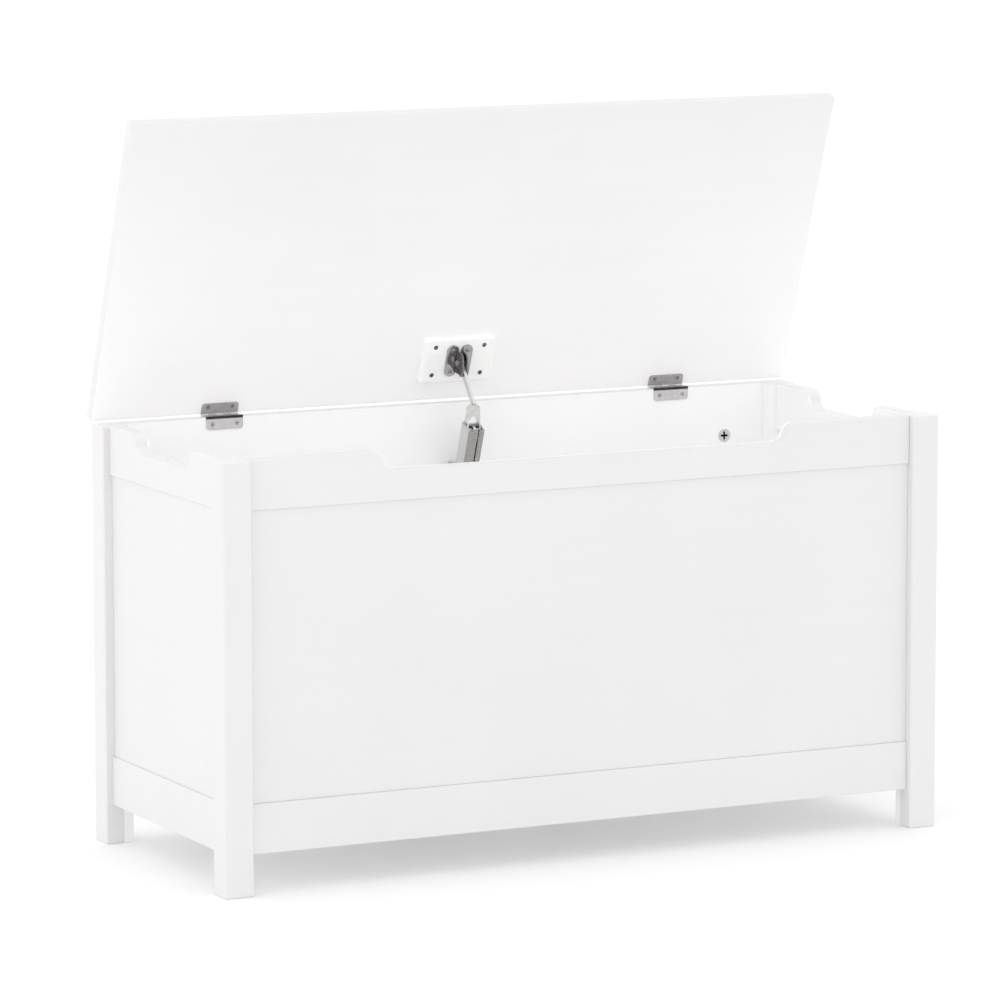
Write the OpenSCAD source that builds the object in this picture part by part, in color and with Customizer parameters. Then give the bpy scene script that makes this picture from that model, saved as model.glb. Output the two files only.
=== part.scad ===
// Wooden toy box with a hinged lid and a spring-loaded lid stay.
// Frame: origin at the centre of the footprint on the floor, +X to the right seen
// from the front, +Y to the back, +Z up. The lid is drawn open, at its stop.

/* [Box] */
// outside width
box_w = 940; // [700:5:1200]
// outside depth
box_d = 386; // [340:2:500]
// height of the frame, floor to the top of the posts
frame_h = 504; // [440:2:640]
// width of a corner post, seen from the front
post_w = 35.5; // [30:0.5:50]
// depth of a corner post, seen from the side
post_d = 35; // [30:0.5:50]
// height of every rail
rail_h = 58.5; // [50:0.5:80]
// thickness of the rails
rail_t = 18; // [15:0.5:24]
// gap under the bottom rails
foot_gap = 47.5; // [20:0.5:80]
// how far the rails sit behind the post faces
rail_recess = 8.5; // [4:0.5:12]
// thickness of the panels
panel_t = 12; // [10:0.5:14]
// how far the panels sit behind the post faces
panel_recess = 11.5; // [10:0.5:14]
// thickness of the back board
back_t = 15; // [12:0.5:22]
// thickness of the floor panel
floor_t = 9; // [6:0.5:12]

/* [Finger cut-outs] */
// depth of the cut-outs in the top rails
cut_depth = 22.5; // [12:0.5:30]
// length of each curved end
cut_end = 30; // [20:1:50]
// half length of the front cut-out at the top
front_cut = 282; // [80:1:320]
// half length of the side cut-outs at the top
side_cut = 93; // [60:1:120]

/* [Lid] */
// thickness of the lid board
lid_t = 15; // [12:0.5:22]
// how far the open lid leans forward from upright, in degrees
lid_lean = 20; // [20:1:20]

/* [Hinges] */
// distance of each hinge from the middle
hinge_x = 303.5; // [200:0.5:380]
// length of a hinge
hinge_len = 48; // [40:0.1:70]
// thickness of a leaf
leaf_t = 1; // [0.8:0.1:1.2]
// width of the leaf on the lid
lid_leaf = 15; // [14:0.5:20]
// drop of the leaf inside the box
box_leaf = 15.3; // [13:0.1:20]
// diameter of the hinge pin
hinge_pin_d = 1.5; // [1.5:0.1:1.8]

/* [Lid stay] */
// distance of the stay from the middle
stay_x = 4.5; // [-50:0.5:50]
// width of the plate on the lid
plate_w = 98; // [80:1:120]
// height of the plate on the lid
plate_h = 60.5; // [56:0.5:70]
// thickness of the plate on the lid
plate_t = 6; // [4:0.5:6]
// outside width of the channel
channel_w = 21.4; // [21.4:0.2:26]
// diameter of the knee pin and the hook pin
stay_pin_d = 3; // [2.6:0.1:3]
// outside diameter of the spring
spring_d = 13; // [10:0.5:14]
// diameter of the spring wire
wire_d = 1.8; // [1.2:0.1:2]

/* [Hidden] */
$fn = 64;

// colours, one for each material
wood_white = [0.93, 0.93, 0.92];
dowel_wood = [0.82, 0.71, 0.54];
steel = [0.62, 0.63, 0.65];
dark_steel = [0.36, 0.37, 0.39];
white_plastic = [0.95, 0.95, 0.95];

over = 0.5;             // how far a cutter runs past the face it cuts
hw = box_w / 2;
hd = box_d / 2;
rail_x = hw - post_w;   // inner side faces of the posts
rail_y = hd - post_d;   // inner front and back faces of the posts
bottom_z = foot_gap + rail_h;
top_z = frame_h - rail_h;
front_y = -hd + rail_recess;        // outer face of the front rails
side_x = hw - rail_recess;          // outer face of the side rails
back_y = hd - back_t;               // inner face of the back board
post_ease = 1.5;
rail_ease = 1;
panel_ease = 0.4;
back_ease = 1.8;
tongue_t = 6;
tongue_l = 6;
groove_slack = 0.2;

// dowels, cam locks and their bolts
dowel_d = 8;
dowel_l = 32;
dowel_bite = 20;        // length of a dowel in the rail
side_dowel_dz = 16;
front_dowel_dz = 17;
cam_d = 17;
cam_h = 12.5;
cam_cross_w = 2.6;
cam_cross_l = 10;
cam_cross_h = 6;
front_cam_x = 400.5;
back_cam_x = 380;
back_cam_top = 439.5;
back_cam_low = 112;
cam_bolt_d = 5;
cam_neck_d = 7;
cam_bolt_bite = 12;     // length of a bolt in the post
cam_bolt_in = 3;        // length of a bolt inside the cam

// floor and its battens
batten_w = 18;
batten_h = 20;
batten_z = 50;
floor_z = batten_z + batten_h;
floor_gap = 0.5;
screw_d = 3.5;
screw_head = 7;
batten_screw_l = 30;
floor_screw_l = 25;
long_screws = 4;        // screws along the front and the back
long_pitch = 250;
floor_pitch = 230;
side_screws = 2;
side_pitch = 160;
floor_side_pitch = 112;

// hinges, in the frame of the hinge pin
pin_y = hd + 0.1;
pin_z = frame_h + 1.15;
lid_gap = 1.15;         // from the pin axis to the inner face of the lid
lid_start = 0.1;
barrel_r = 1.8;
leaf_setback = 2.3;     // leaf edge beside a knuckle of the other leaf
knuckles = 5;
knuckle_gap = 0.3;
knuckle_l = (hinge_len - (knuckles - 1) * knuckle_gap) / knuckles;
pin_slack = 0.1;
leaf_corner = 4;
hinge_screw_x = 16;
hinge_screw_d = 3;
hinge_screw_head = 5.6;
hinge_screw_l = 12;
lid_screw_up = 10;
box_screw_down = 8.5;

// lid stay, as distances d up the lid and n out of its inner face
plate_d = 55.7;
plate_corner = 6;
plate_bevel = 3;
plate_screw_x = 32.8;
plate_screw_d = 18.7;
plate_screw_up = 56;
plate_screw_l = 15.5;
clevis_screw_l = 5;
sunk = 0.2;             // how far flat heads sit below their face
plate_top = plate_t - lid_gap;
clevis_gap = 4;
clevis_t = 1.8;
clevis_w = 15;
clevis_l = 42;
clevis_up = 56;
clevis_screw_dd = 14;
clevis_screw_x = 9.5;
pan_d = 5.6;
pan_h = 1.3;
pivot_d = 55.8;
pivot_n = 12;
pivot_pin_d = 4;
arm_t = 3.6;
arm_w = 7.6;
arm_end_d = 25.5;
arm_end_n = 60.3;
yoke_w = 18;
yoke_t = 1.6;
web_low_d = 5.5;
web_low_n = 67.5;
knee_d = -1.5;
knee_n = 64.3;
hook_d = -5.5;
hook_n = 71.5;
knuckle_r = 2.7;
channel_back_n = 60.2;
channel_front_n = 80.7;
channel_top = 0.85;
channel_slope_n = 67;     // from here to the front the top of the channel slopes down
channel_front_top = -2.1;
channel_low = -76;
channel_t = 1.2;
channel_back_top = -5.2;
slit_x = 3.2;
slit_w = 1.6;
bridge_top = -14;
bridge_t = 1.5;
rod_d = 3;
eye_in = 2.7;
eye_out = 4.3;
rod_low = -70;
collar_d = 14;
collar_top = -59;
collar_t = 2;
spring_turns = 8;
base_d = -64;           // lower pivot, in the frame of the open lid
base_n = 54;
base_pin_d = 4;
base_slack = 1.4;       // play at the lower pivot takes up the linkage's travel
lug_r = 5;
bracket_t = 1.5;
bracket_w = 48;
bracket_low = 11;       // reach of the bracket below and above the lower pivot
bracket_high = 1.2;
bracket_corner = 3;
bracket_ear_x = 7.7;
bracket_ear_r = 4.5;
bracket_screw_x = 18;
bracket_screw_z = -4.9;
base_y = pin_y - base_d * sin(lid_lean) - base_n * cos(lid_lean);
base_z = pin_z + base_d * cos(lid_lean) - base_n * sin(lid_lean);

// ---- frames and common shapes

// the frame of the open lid: local Z runs up the lid, local -Y out of its inner face
module lid_frame() {
    translate([0, pin_y, pin_z]) rotate([lid_lean, 0, 0]) children();
}

// a slab from x0 to x1 with its outline drawn as [n, d] in the frame of the open lid
module lid_slab(x0, x1) {
    lid_frame() translate([x0, 0, 0]) rotate([90, 0, 90]) linear_extrude(x1 - x0)
        mirror([1, 0]) children();
}

// a round bar along X, given in the frame of the open lid
module lid_bar(x0, x1, n, d, dia) {
    lid_frame() translate([x0, -n, d]) rotate([0, 90, 0]) cylinder(d = dia, h = x1 - x0);
}

// a rectangle with its corners cut by c
module eased_rect(w, h, c) {
    polygon([
        [-w / 2 + c, -h / 2], [w / 2 - c, -h / 2], [w / 2, -h / 2 + c], [w / 2, h / 2 - c],
        [w / 2 - c, h / 2], [-w / 2 + c, h / 2], [-w / 2, h / 2 - c], [-w / 2, -h / 2 + c]
    ]);
}

// a rectangle with round corners of radius r
module round_rect(w, h, r) {
    square([w, h - 2 * r], center = true);
    square([w - 2 * r, h], center = true);
    for (x = [-1, 1], y = [-1, 1]) translate([x * (w / 2 - r), y * (h / 2 - r)]) circle(r);
}

// a board from corner lo to corner hi, with every edge eased by c
module board(lo, hi, c) {
    s = hi - lo;
    translate((lo + hi) / 2) intersection() {
        translate([0, 0, -s.z / 2]) linear_extrude(s.z) eased_rect(s.x, s.y, c);
        translate([0, s.y / 2, 0]) rotate([90, 0, 0]) linear_extrude(s.y) eased_rect(s.x, s.z, c);
        translate([-s.x / 2, 0, 0]) rotate([90, 0, 90]) linear_extrude(s.x) eased_rect(s.y, s.z, c);
    }
}

// a plain block from corner lo to corner hi
module block(lo, hi) {
    translate(lo) cube(hi - lo);
}

// children as drawn and mirrored to the other side
module both_sides() {
    children();
    mirror([1, 0, 0]) children();
}

// the opening of a finger cut-out, seen flat, with the top of the rail at 0
module cut_outline(half) {
    r = (cut_end * cut_end + cut_depth * cut_depth) / (4 * cut_depth);
    flat = half - cut_end;
    mid = half - cut_end / 2;
    translate([-flat, -cut_depth]) square([2 * flat, cut_depth + over]);
    for (side = [0, 1]) mirror([side, 0]) {
        intersection() {
            translate([flat, r - cut_depth]) circle(r);
            translate([flat, -cut_depth]) square([cut_end / 2, cut_depth / 2]);
        }
        translate([flat, -cut_depth / 2]) square([cut_end / 2, cut_depth / 2 + over]);
        difference() {
            translate([mid, -cut_depth / 2]) square([cut_end / 2, cut_depth / 2 + over]);
            translate([half, -r]) circle(r);
            translate([half - over, -r]) square([2 * over, r]);
        }
    }
}

// a wood screw pointing along +Z, its flat head on the plane z = 0
module flat_screw(d, head, len) {
    head_h = (head - d) / 2;
    difference() {
        rotate_extrude() polygon([
            [0, 0], [head / 2, 0], [head / 2, 0.3], [d / 2, head_h + 0.3],
            [d / 2, len - d], [0, len]
        ]);
        cross_slot(head * 0.5, d * 0.22, head_h * 0.8);
    }
}

// a screw with a low round head standing on the plane z = 0, its shank along +Z
module pan_screw(d, head, head_h, len) {
    difference() {
        rotate_extrude() polygon([
            [0, -head_h], [head * 0.32, -head_h], [head / 2, -head_h * 0.4], [head / 2, 0],
            [d / 2, 0], [d / 2, len - d], [0, len]
        ]);
        translate([0, 0, -head_h]) cross_slot(head * 0.5, d * 0.24, head_h * 0.7);
    }
}

// the hole that a flat screw of the same size leaves
module screw_hole(d, head, len) {
    head_h = (head - d) / 2;
    rotate_extrude() polygon([
        [0, -over], [head / 2, -over], [head / 2, 0.3], [d / 2, head_h + 0.3],
        [d / 2, len - d], [0, len]
    ]);
}

// a cross recess, from just outside the plane z = 0 down to depth h
module cross_slot(l, w, h) {
    for (turn = [0, 90]) rotate(turn)
        translate([-l / 2, -w / 2, -over]) cube([l, w, h + over]);
}

// ---- places of the repeated fixings

// children point from the end of a side rail into the post, at both ends
module at_side_dowels() {
    for (x = [-1, 1], y = [-1, 1], z = [foot_gap + rail_h / 2, frame_h - rail_h / 2], s = [-1, 1])
        translate([x * (side_x - rail_t / 2), y * rail_y, z + s * side_dowel_dz])
            rotate([-y * 90, 0, 0]) children();
}

module at_front_dowels() {
    for (x = [-1, 1], z = [foot_gap + rail_h / 2, frame_h - rail_h / 2], s = [-1, 1])
        translate([x * rail_x, front_y + rail_t / 2, z + s * front_dowel_dz])
            rotate([0, x * 90, 0]) children();
}

module at_back_dowels() {
    for (x = [-1, 1], z = [200, 350])
        translate([x * rail_x, hd - back_t / 2, z]) rotate([0, x * 90, 0]) children();
}

module dowel_set() {
    at_side_dowels() dowel();
    at_front_dowels() dowel();
    at_back_dowels() dowel();
}

module dowel() {
    translate([0, 0, -dowel_bite]) cylinder(d = dowel_d, h = dowel_l);
}

// cam places: [x, z] of each cam in the front rails and in the back board
front_cams = [for (x = [-1, 1], z = [foot_gap + rail_h / 2, frame_h - rail_h / 2])
    [x * front_cam_x, z]];
back_cams = [for (x = [-1, 1], z = [back_cam_low, back_cam_top]) [x * back_cam_x, z]];

// children stand in each cam seat with +Z running into the wood
module at_front_cams() {
    for (p = front_cams) translate([p.x, front_y + rail_t, p.y]) rotate([90, 0, 0]) children();
}

module at_back_cams() {
    for (p = back_cams) translate([p.x, back_y, p.y]) rotate([-90, 0, 0]) children();
}

// the bolt of one cam at [x, z], lying along X at depth y, ending in the post
module cam_bolt(p, y) {
    side = sign(p.x);
    reach = rail_x - abs(p.x) - cam_d / 2 + cam_bolt_in;
    translate([side * (rail_x - reach), y, p.y]) rotate([0, side * 90, 0]) {
        cylinder(d = cam_bolt_d, h = reach + cam_bolt_bite);
        cylinder(d = cam_neck_d, h = cam_bolt_in - 0.5);
    }
}

module bolt_set() {
    for (p = front_cams) cam_bolt(p, front_y + rail_t / 2);
    for (p = back_cams) cam_bolt(p, hd - back_t / 2);
}

// children point from the inner face of each batten into the wood behind it
module at_batten_screws() {
    for (i = [0:long_screws - 1]) {
        x = (i - (long_screws - 1) / 2) * long_pitch;
        translate([x, front_y + rail_t + batten_w, batten_z + batten_h / 2])
            rotate([90, 0, 0]) children();
        translate([x, back_y - batten_w, batten_z + batten_h / 2])
            rotate([-90, 0, 0]) children();
    }
    for (side = [-1, 1], i = [0:side_screws - 1])
        translate([side * (side_x - rail_t - batten_w), (i - 0.5) * side_pitch,
            batten_z + batten_h / 2]) rotate([0, side * 90, 0]) children();
}

// children point down from the top of the floor panel
module at_floor_screws() {
    for (i = [0:long_screws - 1], y = [front_y + rail_t + batten_w / 2, back_y - batten_w / 2])
        translate([(i - (long_screws - 1) / 2) * floor_pitch, y, floor_z + floor_t])
            rotate([180, 0, 0]) children();
    for (side = [-1, 1], i = [0:side_screws - 1])
        translate([side * (side_x - rail_t - batten_w / 2), (i - 0.5) * floor_side_pitch,
            floor_z + floor_t]) rotate([180, 0, 0]) children();
}

module at_hinges() {
    for (x = [-hinge_x, hinge_x]) translate([x, 0, 0]) children();
}

// children point into the back board through the box leaf
module at_box_leaf_screws() {
    for (s = [-1, 1]) translate([s * hinge_screw_x, back_y - leaf_t, frame_h - box_screw_down])
        rotate([-90, 0, 0]) children();
}

// children point into the lid through the lid leaf
module at_lid_leaf_screws() {
    for (s = [-1, 1]) lid_frame() translate([s * hinge_screw_x, lid_gap - leaf_t, lid_screw_up])
        rotate([-90, 0, 0]) children();
}

module at_plate_screws() {
    for (s = [-1, 1], t = [-1, 1]) lid_frame()
        translate([stay_x + s * plate_screw_x, -plate_top, plate_screw_up + t * plate_screw_d])
            rotate([-90, 0, 0]) children();
}

module at_clevis_screws() {
    for (s = [-1, 1], t = [-1, 1]) lid_frame()
        translate([stay_x + s * clevis_screw_x, -plate_top - clevis_t,
            clevis_up + t * clevis_screw_dd]) rotate([-90, 0, 0]) children();
}

module at_bracket_screws() {
    for (s = [-1, 1])
        translate([stay_x + s * bracket_screw_x, back_y - bracket_t, base_z + bracket_screw_z])
            rotate([-90, 0, 0]) children();
}

// ---- box frame

// one post at the corner given by the signs sx and sy
module post(sx, sy) {
    lo = [min(sx * hw, sx * rail_x), min(sy * hd, sy * rail_y), 0];
    difference() {
        board(lo, lo + [post_w, post_d, frame_h], post_ease);
        dowel_set();
        bolt_set();
        // grooves for the tongues of the panels
        if (sy < 0) block([-rail_x - tongue_l - groove_slack, panel_mid_y() - groove_t() / 2,
            bottom_z - over], [rail_x + tongue_l + groove_slack, panel_mid_y() + groove_t() / 2,
            top_z + over]);
        block([sx * panel_mid_x() - groove_t() / 2, -rail_y - tongue_l - groove_slack,
            bottom_z - over], [sx * panel_mid_x() + groove_t() / 2,
            rail_y + tongue_l + groove_slack, top_z + over]);
    }
}

function panel_mid_y() = -hd + panel_recess + panel_t / 2;
function panel_mid_x() = hw - panel_recess - panel_t / 2;
function groove_t() = tongue_t;

module post_front_left() { color(wood_white) post(-1, -1); }
module post_front_right() { color(wood_white) post(1, -1); }
module post_back_left() { color(wood_white) post(-1, 1); }
module post_back_right() { color(wood_white) post(1, 1); }

// a front rail with its lower face at z and its panel groove on the side given by up
module front_rail(z, up) {
    groove_z = up > 0 ? z + rail_h - tongue_l - groove_slack : z - over;
    difference() {
        board([-rail_x, front_y, z], [rail_x, front_y + rail_t, z + rail_h], rail_ease);
        dowel_set();
        bolt_set();
        at_front_cams() cylinder(d = cam_d, h = cam_h);
        block([-hw, panel_mid_y() - groove_t() / 2, groove_z],
            [hw, panel_mid_y() + groove_t() / 2, groove_z + tongue_l + groove_slack + over]);
        if (up > 0) at_batten_screws() screw_hole(screw_d, screw_head, batten_screw_l);
    }
}

module front_top_rail() {
    color(wood_white) difference() {
        front_rail(top_z, -1);
        translate([0, front_y + rail_t + over, frame_h]) rotate([90, 0, 0])
            linear_extrude(rail_t + 2 * over) cut_outline(front_cut);
    }
}

module front_bottom_rail() { color(wood_white) front_rail(foot_gap, 1); }

// a side rail on the side given by sx
module side_rail(sx, z, up) {
    x = sx * (side_x - rail_t / 2);
    groove_z = up > 0 ? z + rail_h - tongue_l - groove_slack : z - over;
    difference() {
        board([x - rail_t / 2, -rail_y, z], [x + rail_t / 2, rail_y, z + rail_h], rail_ease);
        dowel_set();
        block([sx * panel_mid_x() - groove_t() / 2, -hd, groove_z],
            [sx * panel_mid_x() + groove_t() / 2, hd,
            groove_z + tongue_l + groove_slack + over]);
        if (up > 0) at_batten_screws() screw_hole(screw_d, screw_head, batten_screw_l);
        if (up < 0) translate([x - rail_t, 0, frame_h]) rotate([90, 0, 90])
            linear_extrude(2 * rail_t) cut_outline(side_cut);
    }
}

module left_top_rail() { color(wood_white) side_rail(-1, top_z, -1); }
module left_bottom_rail() { color(wood_white) side_rail(-1, foot_gap, 1); }
module right_top_rail() { color(wood_white) side_rail(1, top_z, -1); }
module right_bottom_rail() { color(wood_white) side_rail(1, foot_gap, 1); }

module front_panel() {
    color(wood_white) {
        board([-rail_x, panel_mid_y() - panel_t / 2, bottom_z],
            [rail_x, panel_mid_y() + panel_t / 2, top_z], panel_ease);
        block([-rail_x - tongue_l, panel_mid_y() - tongue_t / 2, bottom_z],
            [rail_x + tongue_l, panel_mid_y() + tongue_t / 2, top_z]);
        block([-rail_x, panel_mid_y() - tongue_t / 2, bottom_z - tongue_l],
            [rail_x, panel_mid_y() + tongue_t / 2, top_z + tongue_l]);
    }
}

module side_panel(sx) {
    x = sx * panel_mid_x();
    board([x - panel_t / 2, -rail_y, bottom_z], [x + panel_t / 2, rail_y, top_z], panel_ease);
    block([x - tongue_t / 2, -rail_y - tongue_l, bottom_z],
        [x + tongue_t / 2, rail_y + tongue_l, top_z]);
    block([x - tongue_t / 2, -rail_y, bottom_z - tongue_l],
        [x + tongue_t / 2, rail_y, top_z + tongue_l]);
}

module left_panel() { color(wood_white) side_panel(-1); }
module right_panel() { color(wood_white) side_panel(1); }

module back_board() {
    color(wood_white) difference() {
        board([-rail_x, back_y, foot_gap], [rail_x, hd, frame_h], panel_ease);
        // the top rear edge is cut back to clear the hinge barrels
        translate([-hw, hd, frame_h]) rotate([-45, 0, 0])
            translate([0, -box_d, -back_ease / sqrt(2)]) cube([box_w, 2 * box_d, box_d]);
        dowel_set();
        bolt_set();
        at_back_cams() cylinder(d = cam_d, h = cam_h);
        at_hinges() at_box_leaf_screws() screw_hole(hinge_screw_d, hinge_screw_head, hinge_screw_l);
        at_bracket_screws() cylinder(d = screw_d, h = hinge_screw_l);
        at_batten_screws() screw_hole(screw_d, screw_head, batten_screw_l);
    }
}

module floor_panel() {
    in_x = side_x - rail_t - floor_gap;
    in_front = front_y + rail_t + floor_gap;
    in_back = back_y - floor_gap;
    color(wood_white) difference() {
        board([-in_x, in_front, floor_z], [in_x, in_back, floor_z + floor_t], panel_ease);
        // corners clear the posts
        for (x = [-1, 1], y = [-1, 1])
            translate([x * (rail_x - floor_gap + post_w), y * (rail_y - floor_gap + post_d),
                floor_z + floor_t / 2]) cube([2 * post_w, 2 * post_d, box_d], center = true);
        at_floor_screws() screw_hole(screw_d, screw_head, floor_screw_l);
    }
}

// a batten from lo, with the holes for its screws
module batten(lo, size) {
    color(wood_white) difference() {
        board(lo, lo + size, rail_ease);
        at_batten_screws() screw_hole(screw_d, screw_head, batten_screw_l);
        at_floor_screws() screw_hole(screw_d, screw_head, floor_screw_l);
    }
}

long_batten = 2 * (rail_x - 4);
side_batten_y = front_y + rail_t + batten_w + floor_gap;
side_batten = rail_y - floor_gap - side_batten_y;

module batten_front() {
    batten([-long_batten / 2, front_y + rail_t, batten_z], [long_batten, batten_w, batten_h]);
}

module batten_back() {
    batten([-long_batten / 2, back_y - batten_w, batten_z], [long_batten, batten_w, batten_h]);
}

module batten_left() {
    batten([-side_x + rail_t, side_batten_y, batten_z],
        [batten_w, side_batten, batten_h]);
}

module batten_right() {
    batten([side_x - rail_t - batten_w, side_batten_y, batten_z],
        [batten_w, side_batten, batten_h]);
}

module dowels() { color(dowel_wood) dowel_set(); }

// the heads stand 0.2 below the face; each bolt ends inside its cam
module cam_locks() {
    color(steel) difference() {
        union() {
            at_front_cams() cam_body();
            at_back_cams() cam_body();
        }
        bolt_set();
    }
}

module cam_body() {
    difference() {
        translate([0, 0, sunk]) cylinder(d = cam_d, h = cam_h - sunk);
        cross_slot(cam_cross_l, cam_cross_w, cam_cross_h);
    }
}

module cam_bolts() { color(steel) bolt_set(); }

module batten_screws() {
    color(steel) at_batten_screws() flat_screw(screw_d, screw_head, batten_screw_l);
}

module floor_screws() {
    color(steel) at_floor_screws() flat_screw(screw_d, screw_head, floor_screw_l);
}

// ---- hinges

// knuckles number first, first + 2 and so on, around the pin axis
module knuckle_row(first, bore) {
    difference() {
        for (i = [first:2:knuckles - 1])
            translate([-hinge_len / 2 + i * (knuckle_l + knuckle_gap), 0, 0]) rotate([0, 90, 0])
                cylinder(r = barrel_r, h = knuckle_l);
        translate([-hinge_len, 0, 0]) rotate([0, 90, 0]) cylinder(d = bore, h = 2 * hinge_len);
    }
}

// cuts beside the knuckles of the other leaf, reaching from the pin axis to the setback
module knuckle_cuts(first) {
    for (i = [first:2:knuckles - 1])
        translate([-hinge_len / 2 + i * (knuckle_l + knuckle_gap) - knuckle_gap,
            -leaf_setback, -leaf_setback])
            cube([knuckle_l + 2 * knuckle_gap, 2 * leaf_setback, 2 * leaf_setback]);
}

// the lower corners of an upright leaf are rounded; up is the height kept square
module leaf_outline(h) {
    difference() {
        translate([-hinge_len / 2, 0]) square([hinge_len, h]);
        for (s = [0, 1]) mirror([s, 0]) difference() {
            translate([hinge_len / 2 - leaf_corner, h - leaf_corner])
                square([leaf_corner + over, leaf_corner + over]);
            translate([hinge_len / 2 - leaf_corner, h - leaf_corner]) circle(leaf_corner);
        }
    }
}

module hinge_box_leaf() {
    color(steel) {
        difference() {
            union() {
                translate([-hinge_len / 2, back_y - leaf_t, frame_h])
                    cube([hinge_len, pin_y - back_y + leaf_t, leaf_t]);
                translate([0, back_y, frame_h + leaf_t]) rotate([90, 0, 0])
                    linear_extrude(leaf_t) mirror([0, 1]) leaf_outline(box_leaf + leaf_t);
            }
            translate([0, pin_y, pin_z]) {
                knuckle_cuts(1);
                translate([-hinge_len, 0, 0]) rotate([0, 90, 0])
                    cylinder(r = barrel_r - 0.4, h = 2 * hinge_len);
            }
            at_box_leaf_screws() screw_hole(hinge_screw_d, hinge_screw_head, hinge_screw_l);
        }
        translate([0, pin_y, pin_z]) knuckle_row(0, hinge_pin_d);
    }
}

module hinge_lid_leaf() {
    color(dark_steel) {
        difference() {
            lid_frame() translate([0, lid_gap, 0]) rotate([90, 0, 0])
                linear_extrude(leaf_t) leaf_outline(lid_leaf);
            lid_frame() {
                knuckle_cuts(0);
                translate([-hinge_len, 0, 0]) rotate([0, 90, 0])
                    cylinder(r = barrel_r - 0.4, h = 2 * hinge_len);
            }
            at_lid_leaf_screws() screw_hole(hinge_screw_d, hinge_screw_head, hinge_screw_l);
        }
        lid_frame() knuckle_row(1, hinge_pin_d + pin_slack);
    }
}

module hinge_box_leaf_left() { translate([-hinge_x, 0, 0]) hinge_box_leaf(); }
module hinge_box_leaf_right() { translate([hinge_x, 0, 0]) hinge_box_leaf(); }
module hinge_lid_leaf_left() { translate([-hinge_x, 0, 0]) hinge_lid_leaf(); }
module hinge_lid_leaf_right() { translate([hinge_x, 0, 0]) hinge_lid_leaf(); }

module hinge_pins() {
    color(steel) at_hinges() translate([-hinge_len / 2, pin_y, pin_z])
        rotate([0, 90, 0]) cylinder(d = hinge_pin_d, h = hinge_len);
}

module hinge_box_screws() {
    color(steel) at_hinges() at_box_leaf_screws()
        flat_screw(hinge_screw_d, hinge_screw_head, hinge_screw_l);
}

module hinge_lid_screws() {
    color(dark_steel) at_hinges() at_lid_leaf_screws()
        flat_screw(hinge_screw_d, hinge_screw_head, hinge_screw_l);
}

// ---- lid

module lid_board() {
    color(wood_white) difference() {
        lid_frame() difference() {
            board([-hw, lid_gap, lid_start], [hw, lid_gap + lid_t, lid_start + box_d], post_ease);
            // the edge beside the hinge barrels is cut back
            translate([-box_w, lid_gap, lid_start]) rotate([-45, 0, 0])
                translate([0, -box_d, -box_d + back_ease / sqrt(2)])
                    cube([2 * box_w, 2 * box_d, box_d]);
        }
        at_hinges() at_lid_leaf_screws()
            screw_hole(hinge_screw_d, hinge_screw_head, hinge_screw_l);
        at_plate_screws() translate([0, 0, sunk])
            screw_hole(screw_d, screw_head - 1, plate_screw_l);
    }
}

// ---- lid stay

// a white plate with bevelled edges
module stay_plate() {
    out = plate_bevel * 0.8;
    color(white_plastic) difference() {
        lid_frame() translate([stay_x, lid_gap, plate_d]) intersection() {
            translate([0, 0, -plate_h / 2]) linear_extrude(plate_h)
                plate_section(plate_w, out);
            translate([-plate_w / 2, 0, 0]) rotate([0, 90, 0]) linear_extrude(plate_w)
                plate_section(plate_h, out);
            rotate([90, 0, 0]) translate([0, 0, -over]) linear_extrude(plate_t + 2 * over)
                round_rect(plate_w, plate_h, plate_corner);
        }
        at_plate_screws() translate([0, 0, sunk])
            screw_hole(screw_d, screw_head - 1, plate_screw_l);
        at_clevis_screws() translate([0, 0, clevis_t]) cylinder(d = 3, h = clevis_screw_l);
    }
}

// section of the plate with its back on y = 0 and its front edges bevelled
module plate_section(w, out) {
    polygon([
        [-w / 2, 0], [w / 2, 0], [w / 2, -plate_t + out], [w / 2 - plate_bevel, -plate_t],
        [-w / 2 + plate_bevel, -plate_t], [-w / 2, -plate_t + out]
    ]);
}

module stay_plate_screws() {
    color(dark_steel) at_plate_screws()
        translate([0, 0, sunk]) flat_screw(screw_d, screw_head - 1, plate_screw_l);
}

// a half of the clevis, on the side given by sx: a long round-ended foot and an ear
module clevis_half(sx) {
    inner = sx * clevis_gap / 2;
    outer = sx * (clevis_gap / 2 + clevis_t);
    foot_x = stay_x + sx * (clevis_gap / 2 + clevis_w / 2);
    difference() {
        union() {
            lid_frame() translate([foot_x, -plate_top, clevis_up]) rotate([90, 0, 0])
                linear_extrude(clevis_t) long_round(clevis_l, clevis_w);
            lid_slab(stay_x + min(inner, outer), stay_x + max(inner, outer)) ear_outline();
        }
        at_clevis_screws() cylinder(d = 3, h = 2 * clevis_t);
        lid_bar(stay_x - clevis_w, stay_x + clevis_w, pivot_n, pivot_d, pivot_pin_d);
    }
}

// a slot shape of length l and width w, standing upright
module long_round(l, w) {
    square([w, l - w], center = true);
    for (s = [-1, 1]) translate([0, s * (l - w) / 2]) circle(w / 2);
}

// outline of an ear, as [n, d]
module ear_outline() {
    root = plate_top;
    tip_r = 5.5;
    polygon([
        [root, 41], [root, 70], [19, 70], [22.5, 67], [28.1, 51.6], [23.5, 48.5], [20.5, 43.9]
    ]);
    translate([23.5, 48.5]) circle(tip_r);
}

module clevis_left() { color(dark_steel) clevis_half(-1); }
module clevis_right() { color(dark_steel) clevis_half(1); }

module clevis_screws() {
    color(dark_steel) at_clevis_screws()
        pan_screw(3, pan_d, pan_h, clevis_t + clevis_screw_l);
}

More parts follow.
